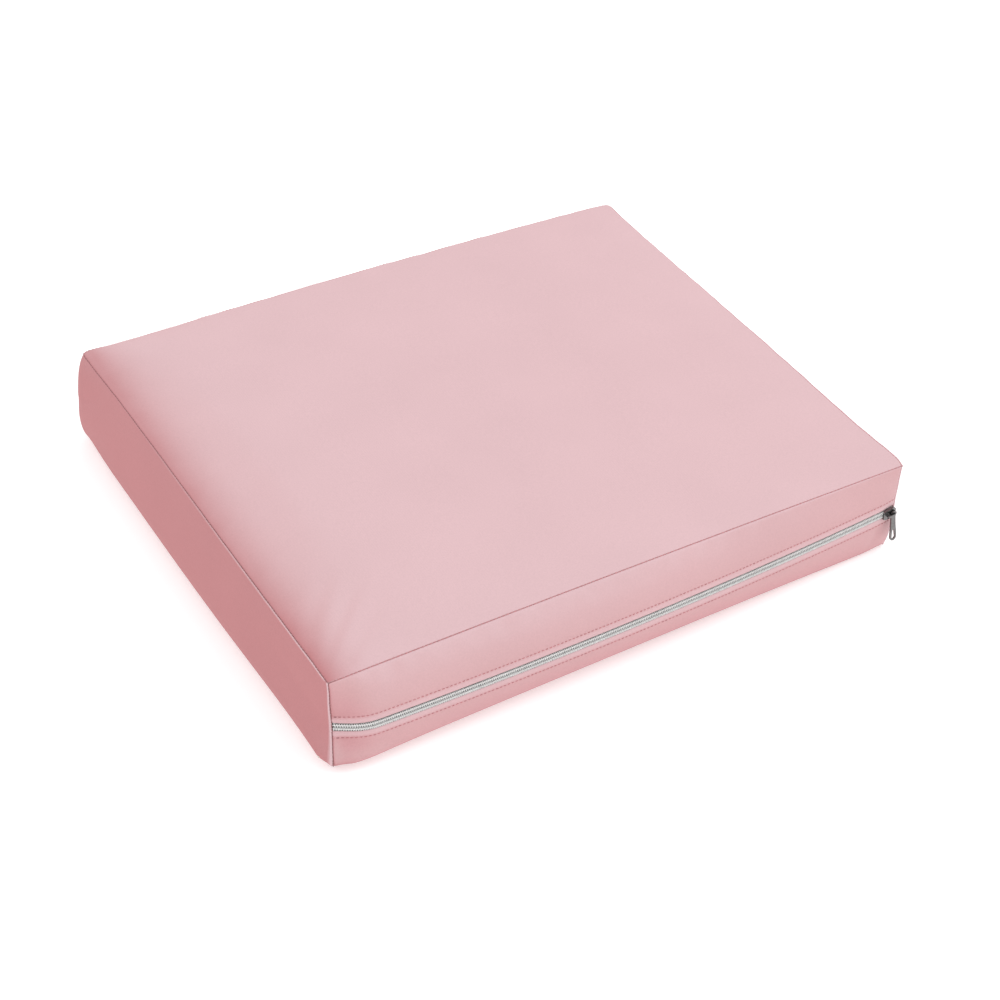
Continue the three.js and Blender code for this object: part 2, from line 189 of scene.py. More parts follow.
def left_foot(x, y, z):
    """The full, rounded foot of the left front corner."""
    away = math.hypot(x + SIDE, y - FRONT) / LEFT_FOOT_REACH
    return LEFT_FOOT * math.exp(-away - (z / LEFT_FOOT_HEIGHT) ** 2)


def side_bulge(x, y, z):
    """How far the side and back walls stand out: flat, leaning outward, and rolled in at the foot."""
    up = z - BOTTOM_LIFT
    share = up / (TOP - BOTTOM_LIFT)
    rolled = 1 - math.exp(-up / (3.5 * MM))
    fade = 1 - 0.85 * ((BACK - y) / (BACK - FRONT)) ** 4
    corner = math.hypot(SIDE - abs(x), BACK - y)
    at_corner = math.exp(-((corner / (38 * MM)) ** 2))
    puff = CORNER_PUFF * at_corner * (1 - abs(2 * share - 1) ** 4)
    return SIDE_BULGE * fade * (1 - 0.6 * at_corner) * (1 - share**1.4) * rolled + puff


def back_share(y):
    return max(0, min(1, (y - FRONT) / (BACK - FRONT)))


def plan_point(column, row):
    """A grid point in plan, on an outline with square front and rounded back corners."""
    x = -SIDE + 2 * SIDE * column / COLUMNS
    y = FRONT + (BACK - FRONT) * row / ROWS
    u = (abs(x) - (SIDE - BACK_RADIUS)) / BACK_RADIUS
    v = (y - (BACK - BACK_RADIUS)) / BACK_RADIUS
    if u > 0 and v > 0:
        x = math.copysign(SIDE - BACK_RADIUS + BACK_RADIUS * u * math.sqrt(1 - v * v / 2), x)
        y = BACK - BACK_RADIUS + BACK_RADIUS * v * math.sqrt(1 - u * u / 2)
    share = back_share(y)
    bow = BACK_BOW * share**2 * (1 - (x / SIDE) ** 2)
    spread = BACK_SPREAD * share + CORNER_SPREAD * share**8 + SIDE_BOW * (1 - (y / BACK) ** 2)
    if x > 0:
        behind = (y - FRONT) / PUFF_PLACE
        spread += RIGHT_PUFF * behind * math.exp(1 - behind)
    return x * (1 + spread / SIDE), y + bow


def outward(x, y):
    """Direction of the side and back walls' bulge at a point of the outline."""
    core = SIDE - BACK_RADIUS
    along_x = x - max(-core, min(core, x))
    along_y = max(0, y - (BACK - BACK_RADIUS))
    return Vector((along_x, along_y)).normalized()


def seam_height(x, y):
    """Height of the top seam: soft foam stands a little higher in the middle of each side."""
    across = min(1, abs(x / SIDE)) ** 2
    along = min(1, abs(y / BACK)) ** 2
    tip = math.hypot(x + SIDE, y - BACK) / TIP_REACH
    lean = LEAN * back_share(y) * x / SIDE
    return TOP + SEAM_RISE * (1 - across * along) - lean + TIP_LIFT * math.exp(-(tip**2))


def top_height(x, y):
    """The top panel's crown, with a flat middle, a fall along each edge and a hump at the left."""
    across = max(0, 1 - abs(x / SIDE) ** 6)
    along = max(0, 1 - abs(y / BACK) ** 6)
    from_left = max(0, x + SIDE + BACK_SPREAD * back_share(y))
    hump = LEFT_HUMP * (1 - math.exp(-from_left / HUMP_WIDTH)) * math.exp(-from_left / HUMP_FADE)
    return seam_height(x, y) + CROWN * (across * along) ** 0.8 + hump * along**0.5


def bottom_height(x, y):
    """The bottom panel rests on the floor and rises to its seam at the edges."""
    edge = min(SIDE - abs(x), BACK - abs(y))
    rise = max(0, 1 - edge / BOTTOM_ROLL)
    return BOTTOM_LIFT * rise**2


def wall_point(x, y, z, on_front, on_corner):
    inset = BOTTOM_INSET * max(0, 1 - (z - BOTTOM_LIFT) / BOTTOM_CURL) ** 2
    rise = (seam_height(x, y) - TOP) * max(0, (z - ZIPPER_Z) / (TOP - ZIPPER_Z)) ** 2
    point = Vector((x * (1 - inset / SIDE), y * (1 - inset / BACK), z + rise))
    foot = left_foot(x, y, z)
    if on_corner:
        draw = CORNER_DRAW * (1 - (z / TOP) ** 2)
        return point + Vector((-math.copysign(draw, x) - SEAM_FOOT * foot, -foot, 0))
    if on_front:
        point.y -= front_bulge(x) * front_profile(z) + front_foot(x, z) - crease(x, z)
        point.y -= FRONT_FOOT * foot**2 / LEFT_FOOT
        return point
    push = outward(x, y) * (side_bulge(x, y, z) + foot)
    return point + Vector((push.x, push.y, 0))


def ring_cells():
    """The outline's grid points, from the front left corner to the right and round the back."""
    front = [(i, 0) for i in range(COLUMNS)]
    right = [(COLUMNS, j) for j in range(ROWS)]
    back = [(i, ROWS) for i in range(COLUMNS, 0, -1)]
    left = [(0, j) for j in range(ROWS, 0, -1)]
    return front + right + back + left


def corner_tuck(x, y, z):
    """The lower right front corner is drawn in and upward."""
    low = max(0, 1 - (z - BOTTOM_LIFT) / TUCK_HEIGHT)
    near = math.exp(-(((SIDE - x) / TUCK_REACH) ** 2) - ((y - FRONT) / TUCK_REACH) ** 2)
    shift = TUCK * low**2 * near
    return Vector((-shift, 0.6 * shift, 0.3 * shift))


def crease(x, z):
    """Depth of the slanting crease in the lower strip, below the closed slider."""
    across = (x - SLIDER_X + 2 * MM - 0.35 * (z - ZIPPER_Z)) / CREASE_WIDTH
    along = (z - 17 * MM) / (8 * MM)
    return CREASE_DEPTH * math.exp(-(across**2) - along**4)


class Cover:
    """The closed cover: its points, its faces, and where each panel's points are."""

    def __init__(self):
        self.points = []
        self.faces = []
        ring = ring_cells()
        self.top = self.panel(top_height, 1, 1)
        self.bottom = self.panel(bottom_height, 1 - BOTTOM_INSET / SIDE, 1 - BOTTOM_INSET / BACK)
        self.wall = np.zeros((LAST_ROW + 1, len(ring)), int)
        for m, cell in enumerate(ring):
            x, y = plan_point(*cell)
            on_corner = m in (0, COLUMNS)
            on_front = 0 < m < COLUMNS
            for k, z in enumerate(HEIGHTS):
                if k == 0:
                    self.wall[k, m] = self.top[cell]
                elif k == LAST_ROW:
                    self.wall[k, m] = self.bottom[cell]
                else:
                    self.wall[k, m] = self.add(wall_point(x, y, z, on_front, on_corner))
        around = np.column_stack([self.wall, self.wall[:, 0]])
        self.face_grid(self.top.T)
        self.face_grid(self.bottom)
        self.face_grid(around[::-1])
        self.front = self.wall[:, : COLUMNS + 1]
        self.band = around[:, COLUMNS:]

    def add(self, point):
        self.points.append(tuple(Vector(point) + corner_tuck(*point)))
        return len(self.points) - 1

    def panel(self, height, scale_x, scale_y):
        grid = np.zeros((COLUMNS + 1, ROWS + 1), int)
        for i in range(COLUMNS + 1):
            for j in range(ROWS + 1):
                x, y = plan_point(i, j)
                grid[i, j] = self.add((x * scale_x, y * scale_y, height(x, y)))
        return grid

    def face_grid(self, grid):
        for a in range(grid.shape[0] - 1):
            for b in range(grid.shape[1] - 1):
                corners = (grid[a, b], grid[a, b + 1], grid[a + 1, b + 1], grid[a + 1, b])
                self.faces.append(tuple(int(c) for c in corners))

    def pinned(self):
        """Points that the simulation holds still: the seams, and the front face at the zipper."""
        held = set(self.wall[0]) | set(self.wall[-1])
        held |= set(self.wall[:, 0]) | set(self.wall[:, COLUMNS])
        for row in range(UPPER_FOLD_ROW - 2, LOWER_FOLD_ROW + 3):
            held |= set(self.front[row])
        return sorted(int(h) for h in held)


def new_mesh_object(name, points, faces):
    mesh = bpy.data.meshes.new(name)
    mesh.from_pydata([tuple(p) for p in points], [], faces)
    mesh.validate()
    obj = bpy.data.objects.new(name, mesh)
    bpy.context.scene.collection.objects.link(obj)
    return obj


def mesh_points(mesh):
    flat = np.zeros(len(mesh.vertices) * 3)
    mesh.vertices.foreach_get("co", flat)
    return flat.reshape(-1, 3)


def mesh_normals(mesh):
    flat = np.zeros(len(mesh.vertices) * 3)
    mesh.vertex_normals.foreach_get("vector", flat)
    return flat.reshape(-1, 3)


def seam_distance(point):
    """Distance from the nearest seam of the cover, roughly."""
    x, y, z = point
    edges = sorted((max(0, SIDE - abs(x)), max(0, BACK - abs(y)), max(0, TOP - z)))
    return math.hypot(edges[0], edges[1])


def gather(points, normals):
    """Adds the small gathers that sewing leaves beside the seams, deepest by the front left corner."""
    moved = points.copy()
    for i, point in enumerate(points):
        fade = math.exp(-seam_distance(point) / (11 * MM))
        corner = math.hypot(point[0] + SIDE - 25 * MM, point[1] - FRONT - 12 * MM)
        local = 1 + 1.6 * math.exp(-((corner / (28 * MM)) ** 2))
        waves = noise.noise(Vector(point) * 95) + 0.4 * noise.noise(Vector(point) * 30)
        moved[i] += normals[i] * PUCKER * local * fade * waves
    return moved


def simulate(cover, start):
    """Lets air pressure puff the cover out between its held seams, and returns the new points."""
    obj = new_mesh_object("cover_cloth", start, cover.faces)
    group = obj.vertex_groups.new(name="held")
    group.add(cover.pinned(), 1.0, "REPLACE")
    cloth = obj.modifiers.new("cloth", "CLOTH")
    settings = cloth.settings
    settings.quality = 6
    settings.mass = 0.25
    settings.tension_stiffness = 60
    settings.compression_stiffness = 30
    settings.shear_stiffness = 20
    settings.bending_stiffness = 1.5
    settings.air_damping = 4
    settings.vertex_group_mass = "held"
    settings.use_pressure = True
    settings.uniform_pressure_force = 4
    settings.effector_weights.gravity = 0
    cloth.collision_settings.use_collision = False
    scene = bpy.context.scene
    for step in range(1, 21):
        scene.frame_set(step)
    evaluated = obj.evaluated_get(bpy.context.evaluated_depsgraph_get())
    puffed = mesh_points(evaluated.data)
    scene.frame_set(1)
    bpy.data.objects.remove(obj)
    move = puffed - start
    length = np.linalg.norm(move, axis=1, keepdims=True)
    puffed = start + move * SIM_CAP * np.tanh(length / SIM_CAP) / np.maximum(length, 1e-9)
    puffed[:, 2] = np.maximum(puffed[:, 2], 0)
    return puffed


def puffed_cover():
    cover = Cover()
    points = np.array(cover.points)
    obj = new_mesh_object("cover_layout", points, cover.faces)
    points = gather(points, mesh_normals(obj.data))
    bpy.data.objects.remove(obj)
    points = simulate(cover, points)
    obj = new_mesh_object("cover_layout", points, cover.faces)
    normals = mesh_normals(obj.data)
    bpy.data.objects.remove(obj)
    return cover, points, normals


# ---------- Fabric panels ----------


def with_lips(grid, sides, beaded):
    """Adds a row close to each seam side of a grid of points, so that the edge can turn in tightly."""
    share, rise = (BEAD, BEAD_RISE) if beaded else (LIP, LIP_RISE)
    for axis, end in sides:
        rows = np.swapaxes(grid, 0, axis)
        if end:
            rows = rows[::-1]
        lip = rows[0] + (rows[1] - rows[0]) * share
        fade = np.clip((0.55 * BACK - lip[:, 1:2]) / (0.55 * BACK - FRONT), 0, 1) if beaded else 1
        lip[:, :3] += lip[:, 3:6] * rise * fade
        rows = np.concatenate([rows[:1], lip[None], rows[1:]])
        if beaded:
            # the bead's edge rows carry the painted highlight, fading towards the back
            rows[:2, :, 6:] = fade
            beside = rows[0] + (rows[2] - rows[0]) * BESIDE_BEAD
            beside[:, 6:] = 0
            rows = np.concatenate([rows[:2], beside[None], rows[2:]])
        if end:
            rows = rows[::-1]
        grid = np.swapaxes(rows, 0, axis)
    return grid


def panel_mesh(name, points, normals, sides, beaded=False, highlight=0):
    """A piece of fabric from a grid of points. The listed sides are sewn: their edges turn inward.

    The last argument tells how much painted highlight the pile gets, from 0 to 1, for the whole piece or row by
    row.
    """
    painted_pile = np.broadcast_to(np.reshape(highlight, (-1, 1, 1)), points.shape[:2] + (1,))
    grid = with_lips(np.concatenate([points, normals, painted_pile], axis=2), sides, beaded)
    rows, columns = grid.shape[:2]
    bm = bmesh.new()
    index = bm.verts.layers.int.new("grid_index")
    painted_highlight = bm.verts.layers.float.new(HIGHLIGHT_ATTRIBUTE)
    sewn = np.zeros((rows, columns), bool)
    for axis, end in sides:
        np.swapaxes(sewn, 0, axis)[-1 if end else 0] = True
    inner = grid[:, :, :3].copy()
    for axis, end in sides:
        edge = np.swapaxes(inner, 0, axis)
        first, second = (-1, -2) if end else (0, 1)
        step = edge[second] - edge[first]
        wider = (LEFT_GAP - 1) * np.clip((0.7 * BACK - edge[first][:, 1:2]) / (0.7 * BACK - FRONT), 0, 1)
        gap = SEAM_GAP * np.where(edge[first][:, :1] < 3 * MM - SIDE, 1 + wider, 1)
        edge[first] += step / np.linalg.norm(step, axis=1, keepdims=True) * gap
    verts = []
    for a in range(rows):
        for b in range(columns):
            place = Vector(inner[a, b])
            if sewn[a, b]:
                place -= Vector(grid[a, b, 3:6]).normalized() * SEAM_MOUTH
            vert = bm.verts.new(place)
            vert[index] = a * columns + b
            vert[painted_highlight] = grid[a, b, 6]
            verts.append(vert)
    for a in range(rows - 1):
        for b in range(columns - 1):
            corner = a * columns + b
            bm.faces.new([verts[corner + s] for s in (0, 1, columns + 1, columns)])
    bm.normal_update()
    flat_points = grid[:, :, :3].reshape(-1, 3)
    flat_normals = grid[:, :, 3:6].reshape(-1, 3)
    facing = sum(f.normal.dot(Vector(flat_normals[f.verts[0][index]])) for f in bm.faces)
    if facing < 0:
        bmesh.ops.reverse_faces(bm, faces=bm.faces[:])
    flat_sewn = sewn.ravel()
    edges = [e for e in bm.edges if e.is_boundary and all(flat_sewn[v[index]] for v in e.verts)]
    extruded = bmesh.ops.extrude_edge_only(bm, edges=edges)
    for vert in extruded["geom"]:
        if isinstance(vert, bmesh.types.BMVert):
            inward = -Vector(flat_normals[vert[index]]).normalized()
            vert.co = Vector(flat_points[vert[index]]) + inward * SEAM_TUCK
    mesh = bpy.data.meshes.new(name)
    bm.to_mesh(mesh)
    bm.free()
    obj = bpy.data.objects.new(name, mesh)
    bpy.context.scene.collection.objects.link(obj)
    return thickened(obj, FABRIC)


def thickened(obj, thickness, levels=1):
    """Gives a sheet its thickness on the inner side and smooths it, as a plain mesh."""
    solid = obj.modifiers.new("thickness", "SOLIDIFY")
    solid.thickness = thickness
    solid.offset = -1
    smooth = obj.modifiers.new("smooth", "SUBSURF")
    smooth.levels = levels
    smooth.render_levels = levels
    return applied(obj)


def applied(obj):
    """Replaces an object's mesh with the result of its modifiers, smoothly shaded."""
    evaluated = obj.evaluated_get(bpy.context.evaluated_depsgraph_get())
    mesh = bpy.data.meshes.new_from_object(evaluated)
    mesh.name = obj.name
    obj.modifiers.clear()
    obj.data = mesh
    mesh.polygons.foreach_set("use_smooth", [True] * len(mesh.polygons))
    return obj


def fold_rows(edge, normals, side):
    """Rows that turn a strip's edge under at the zipper. side is 1 for the upper strip, -1 for the lower."""
    steps = [(0.35, 0.06), (0, 0.45), (0.45, 0.9), (4.5, 1.05)]  # along the strip and inward, in mm
    rows = []
    for along, depth in steps:
        shift = np.array([0, 0, side * along * MM])
        inward = -normals * np.array([1, 1, 0])
        inward /= np.linalg.norm(inward, axis=1, keepdims=True)
        rows.append(edge + shift + inward * depth * MM)
    return np.array(rows)


def front_strip(name, cover, points, normals, first, last, side):
    """A front strip from a seam to its folded edge at the zipper."""
    rows = cover.front[first : last + 1]
    if side < 0:
        rows = rows[::-1]
    place = points[rows].copy()
    facing = normals[rows].copy()
    stitched = -3
    place[stitched] -= facing[stitched] * STITCH_SINK
    place[-2] += facing[-2] * HEM_PUFF
    fold = fold_rows(place[-1], facing[-1], side)
    near = place[-1] + np.array([0, 0, side * 1.4 * MM])
    place = np.concatenate([place[:-1], near[None], fold])
    facing = np.concatenate([facing[:-1], np.repeat(facing[-1:], 1 + len(fold), axis=0)])
    # the hem rows beside the fold carry the painted highlight
    highlight = np.zeros(len(place))
    highlight[-2 - len(fold) : -2] = HEM_HIGHLIGHT
    return panel_mesh(name, place, facing, [(0, False), (1, False), (1, True)], highlight=highlight)


# ---------- Pieces along the front face ----------


def front_frame(x):
    """The fabric's outer face at the zipper's height: the point and the outward direction at x."""
    step = 0.01 * MM
    slope = (front_bulge(x + step) - front_bulge(x - step)) / (2 * step)
    point = Vector((x, FRONT - front_bulge(x), ZIPPER_Z))
    return point, Vector((-slope, -1, 0)).normalized()


def tube(points, side_vectors, up_vectors, radii, sides, verts, faces):
    """Adds a closed tube along points to verts and faces. Radii are (side, up) pairs."""
    base = len(verts)
    for point, side, up, (wide, high) in zip(points, side_vectors, up_vectors, radii):
        for s in range(sides):
            angle = 2 * math.pi * s / sides
            verts.append(point + side * wide * math.cos(angle) + up * high * math.sin(angle))
    count = len(points)
    for ring in range(count - 1):
        for s in range(sides):
            a = base + ring * sides + s
            b = base + ring * sides + (s + 1) % sides
            faces.append((a, b, b + sides, a + sides))
    faces.append(tuple(base + s for s in reversed(range(sides))))
    faces.append(tuple(base + (count - 1) * sides + s for s in range(sides)))


def finished_mesh(name, verts, faces):
    obj = new_mesh_object(name, verts, faces)
    bm = bmesh.new()
    bm.from_mesh(obj.data)
    bmesh.ops.recalc_face_normals(bm, faces=bm.faces[:])
    bm.to_mesh(obj.data)
    bm.free()
    obj.data.polygons.foreach_set("use_smooth", [True] * len(obj.data.polygons))
    return obj


def swept(name, start, end, step, outline):
    """A bar along the front face, which follows its puffed shape above and below the zipper.
    Outline is (height out from the fabric's face, z from the zipper)."""
    count = round((end - start) / step)
    verts = []
    faces = []
    sides = len(outline)
    for i in range(count + 1):
        x = start + (end - start) * i / count
        point, out = front_frame(x)
        for height, rise in outline:
            back = front_bulge(x) * (1 - front_profile(ZIPPER_Z + rise))
            verts.append(point + out * height + Vector((0, back, rise)))
    for i in range(count):
        for s in range(sides):
            a = i * sides + s
            b = i * sides + (s + 1) % sides
            faces.append((a, b, b + sides, a + sides))
    faces.append(tuple(reversed(range(sides))))
    faces.append(tuple(count * sides + s for s in range(sides)))
    return finished_mesh(name, verts, faces)


def tape(name, side):
    """A woven zipper tape with rounded long edges."""
    slot = 1.2 * MM
    width = 13 * MM
    thick = 0.5 * MM
    near = -TAPE_DEPTH
    far = near - thick
    soft = 0.15 * MM
    low = side * slot
    high = side * (slot + width)
    turn = side * soft
    outline = [(near, low + turn), (near, high - turn), (near - soft, high), (far + soft, high),
               (far, high - turn), (far, low + turn), (far + soft, low), (near - soft, low)]
    edge = SIDE - ZIPPER_INSET
    return swept(name, -edge, edge, 4 * MM, outline)


def cord(name, side):
    """The filler cord that runs inside a coil half."""
    middle = side * 1.5 * MM
    height = -TAPE_DEPTH + 1.15 * MM
    outline = []
    for s in range(10):
        angle = 2 * math.pi * s / 10
        outline.append((height + 0.25 * MM * math.sin(angle), middle + 0.6 * MM * math.cos(angle)))
    return swept(name, ZIPPER_INSET - SIDE, COIL_END, 4 * MM, outline)


def coil(name, side):
    """Half of the coil: one nylon wire wound into flat loops, whose heads mesh with the other half's."""
    first = ZIPPER_INSET - SIDE
    turns = int((COIL_END - first - 2 * COIL_WIRE) / COIL_PITCH) - 1
    points = []
    radii = []
    shift = COIL_PITCH / 2 if side > 0 else 0
    start = first + COIL_WIRE + shift
    for i in range(turns * COIL_STEPS + 1):
        angle = 2 * math.pi * i / COIL_STEPS
        x = start + COIL_PITCH * i / COIL_STEPS
        across = math.copysign(abs(math.cos(angle)) ** 0.8, math.cos(angle))
        from_centre = 1.35 * MM + 1.4 * MM * across
        height = 1.15 * MM + 0.58 * MM * math.sin(angle)
        point, out = front_frame(x)
        points.append(point + out * (height - TAPE_DEPTH) + Vector((0, 0, side * from_centre)))
        head = max(0, -across) ** 4
        radii.append((COIL_WIRE * (1 + 0.25 * head), COIL_WIRE * (1 + 0.25 * head)))
    sides = []
    ups = []
    for i in range(len(points)):
        along = (points[min(i + 1, len(points) - 1)] - points[max(i - 1, 0)]).normalized()
        sideways = Vector((1, 0, 0)) - along * along.x
        sideways.normalize()
        sides.append(sideways)
        ups.append(along.cross(sideways))
    verts = []
    faces = []
    tube(points, sides, ups, radii, COIL_SIDES, verts, faces)
    return finished_mesh(name, verts, faces)


# ---------- Thread ----------


def stitches(name, path, normals, lift, sink):
    """A row of stitches along a path. Each one rises out of the fabric and dips back into it."""
    path = np.array(path)
    normals = np.array(normals)
    steps = np.linalg.norm(np.diff(path, axis=0), axis=1)
    at = np.concatenate([[0], np.cumsum(steps)])
    verts = []
    faces = []

    def sample(table, s):
        return Vector([np.interp(s, at, table[:, c]) for c in range(3)])

    count = int(at[-1] / STITCH_PITCH)
    margin = (at[-1] - count * STITCH_PITCH + STITCH_PITCH - STITCH_LENGTH) / 2
    for n in range(count):
        start = margin + n * STITCH_PITCH
        length = STITCH_LENGTH * random.uniform(0.92, 1.06)
        points = []
        ups = []
        for share in (0, 0.18, 0.5, 0.82, 1):
            s = start + length * share
            up = sample(normals, s).normalized()
            dip = (2 * share - 1) ** 4
            points.append(sample(path, s) + up * (lift - (lift + sink) * dip))
            ups.append(up)
        along = (points[-1] - points[0]).normalized()
        sides = [along.cross(up).normalized() for up in ups]
        radii = [(THREAD_RADIUS, THREAD_RADIUS)] * 5
        tube(points, sides, ups, radii, 6, verts, faces)
    return finished_mesh(name, verts, faces)


def topstitch(name, fabric, height):
    """A row of stitches on the face of a front strip."""
    surface = BVHTree.FromPolygons(mesh_points(fabric.data).tolist(), [p.vertices[:] for p in fabric.data.polygons])
    path = []
    normals = []
    edge = SIDE - 1.8 * MM
    for x in np.linspace(-edge, edge, 460):
        eye = Vector((x, FRONT - 2 * FRONT_BULGE, height))
        hit, normal, _, _ = surface.ray_cast(eye, Vector((0, 1, 0)))
        if hit is not None:
            path.append(hit)
            normals.append(normal if normal.y < 0 else -normal)
    return stitches(name, path, normals, 0.2 * MM, 0.4 * MM)


def seam_thread(name, points, normals):
    """The thread at the bottom of a seam's groove."""
    path = points - normals * 0.6 * MM
    return stitches(name, path, normals, 0.1 * MM, 0.3 * MM)


# ---------- Foam ----------


def foam(cover, points, normals):
    """The foam core, a little smaller than the cover, and set back behind the zipper."""
    front_rows = set(int(i) for i in cover.front[1:-1].ravel())
    inset = np.full((len(points), 1), 1.2 * MM)
    inset[sorted(front_rows)] = 5 * MM
    obj = new_mesh_object("foam_core_soft", points - normals * inset, cover.faces)
    low = obj.data.vertices
    for vertex in low:
        vertex.co.z = max(vertex.co.z, 1.2 * MM)
    obj.data.polygons.foreach_set("use_smooth", [True] * len(obj.data.polygons))
    return obj


# ---------- Materials ----------


def blank_material(name):
    material = bpy.data.materials.new(name)
    material.use_nodes = True
    nodes = material.node_tree.nodes
    return material, nodes, material.node_tree.links, nodes["Principled BSDF"]


def object_position(nodes):
    return nodes.new("ShaderNodeTexCoord").outputs["Object"]


def noise_texture(nodes, links, position, scale, detail=2.0):
    node = nodes.new("ShaderNodeTexNoise")
    node.inputs["Scale"].default_value = scale
    node.inputs["Detail"].default_value = detail
    links.new(position, node.inputs["Vector"])
    return node.outputs["Fac"]


def mapped(nodes, links, value, low, high, to_low, to_high):
    node = nodes.new("ShaderNodeMapRange")
    node.inputs["From Min"].default_value = low
    node.inputs["From Max"].default_value = high
    node.inputs["To Min"].default_value = to_low
    node.inputs["To Max"].default_value = to_high
    links.new(value, node.inputs["Value"])
    return node.outputs["Result"]


def arithmetic(nodes, links, operation, a, b):
    node = nodes.new("ShaderNodeMath")
    node.operation = operation
    for socket, value in zip(node.inputs, (a, b)):
        if isinstance(value, (int, float)):
            socket.default_value = value
        else:
            links.new(value, socket)
    return node.outputs[0]


def zipper_centre_shade(nodes, links, position):
    """Painted shade: a value that falls below 1 close to the zipper's centre line, where the halves mesh."""
    place = nodes.new("ShaderNodeSeparateXYZ")
    links.new(position, place.inputs[0])
    height = arithmetic(nodes, links, "SUBTRACT", place.outputs["Z"], ZIPPER_Z)
    away = arithmetic(nodes, links, "ABSOLUTE", height, 0)
    return mapped(nodes, links, away, 0.2 * MM, 0.75 * MM, 0.55, 1)


def scaled_colour(nodes, links, colour, factor):
    """Multiplies a colour by a grey factor."""
    node = nodes.new("ShaderNodeMix")
    node.data_type = "RGBA"
    node.blend_type = "MULTIPLY"
    node.inputs["Factor"].default_value = 1
    combine = nodes.new("ShaderNodeCombineColor")
    for channel in ("Red", "Green", "Blue"):
        links.new(factor, combine.inputs[channel])
    if isinstance(colour, tuple):
        node.inputs[6].default_value = colour
    else:
        links.new(colour, node.inputs[6])
    links.new(combine.outputs[0], node.inputs[7])
    return node.outputs[2]


def bump(nodes, links, bsdf, height, strength, distance):
    node = nodes.new("ShaderNodeBump")
    node.inputs["Strength"].default_value = strength
    node.inputs["Distance"].default_value = distance
    links.new(height, node.inputs["Height"])
    links.new(node.outputs["Normal"], bsdf.inputs["Normal"])


PAINTED_LIGHT_DIR = Vector((0.75, -0.25, 0.60)).normalized()  # painted light falls from this way: faces turned towards it are painted paler, faces turned away darker
PAINTED_LIGHT_STOPS = [  # place along the painted light direction, pile colour with painted light and shade
    (0.20, (0.507, 0.211, 0.218, 1)),
    (0.41, (0.553, 0.281, 0.293, 1)),
    (0.49, (0.602, 0.314, 0.332, 1)),
    (0.63, (0.616, 0.371, 0.380, 1)),
    (0.73, (0.632, 0.393, 0.408, 1)),
    (0.79, (0.678, 0.469, 0.491, 1)),
]
# colour of the painted shade beside the top panel's left seam
LEFT_SEAM_SHADE = (0.490, 0.185, 0.196, 1)
LEFT_SEAM_SHADE_WIDTH = 40 * MM  # painted shade darkens the top panel this far in from its left seam
LEFT_SEAM_SHADE_LENGTH = 120 * MM  # and is deepest within this far of the front


def painted_light_colour(nodes, links):
    """Painted light and shade: the pile is painted paler where the surface faces the painted light direction and
    deeper where it faces away.
    """
    geometry = nodes.new("ShaderNodeNewGeometry")
    dot = nodes.new("ShaderNodeVectorMath")
    dot.operation = "DOT_PRODUCT"
    dot.inputs[1].default_value = PAINTED_LIGHT_DIR
    links.new(geometry.outputs["Normal"], dot.inputs[0])
    along = mapped(nodes, links, dot.outputs["Value"], -1, 1, 0, 1)
    ramp = nodes.new("ShaderNodeValToRGB")
    ramp.color_ramp.interpolation = "B_SPLINE"
    for stop, (place, colour) in zip(ramp.color_ramp.elements, PAINTED_LIGHT_STOPS):
        stop.position = place
        stop.color = colour
    for place, colour in PAINTED_LIGHT_STOPS[2:]:
        ramp.color_ramp.elements.new(place).color = colour
    links.new(along, ramp.inputs["Fac"])
    return ramp.outputs["Color"]


def blended(nodes, links, amount, first, second):
    """A colour input turned into a fixed second colour by an amount from 0 to 1."""
    blend = nodes.new("ShaderNodeMix")
    blend.data_type = "RGBA"
    links.new(amount, blend.inputs["Factor"])
    links.new(first, blend.inputs[6])
    blend.inputs[7].default_value = second
    return blend.outputs[2]


def left_seam_shade_colour(nodes, links, colour, position):
    """Blends in painted shade, a deeper pile colour, on the top panel beside its left seam."""
    place = nodes.new("ShaderNodeSeparateXYZ")
    links.new(position, place.inputs[0])
    facing = nodes.new("ShaderNodeSeparateXYZ")
    links.new(nodes.new("ShaderNodeNewGeometry").outputs["Normal"], facing.inputs[0])
    near = mapped(nodes, links, place.outputs["X"], -SIDE, LEFT_SEAM_SHADE_WIDTH - SIDE, 1, 0)
    along = mapped(nodes, links, place.outputs["Y"], FRONT, FRONT + LEFT_SEAM_SHADE_LENGTH, 1, 0.62)
    upward = mapped(nodes, links, facing.outputs["Z"], 0.5, 0.8, 0, 1)
    patches = mapped(nodes, links, noise_texture(nodes, links, position, 45), 0.3, 0.7, 0.9, 1.05)
    amount = arithmetic(nodes, links, "MULTIPLY", arithmetic(nodes, links, "POWER", near, 2.5), upward)
    varied = arithmetic(nodes, links, "MULTIPLY", along, patches)
    return blended(nodes, links, arithmetic(nodes, links, "MULTIPLY", amount, varied), colour, LEFT_SEAM_SHADE)


def painted_highlight_colour(nodes, links, colour):
    """Blends in a painted highlight, the palest lit pile colour, on the hems and on the beaded edges."""
    highlight = nodes.new("ShaderNodeAttribute")
    highlight.attribute_name = HIGHLIGHT_ATTRIBUTE
    return blended(nodes, links, highlight.outputs["Fac"], colour, PAINTED_LIGHT_STOPS[-1][1])


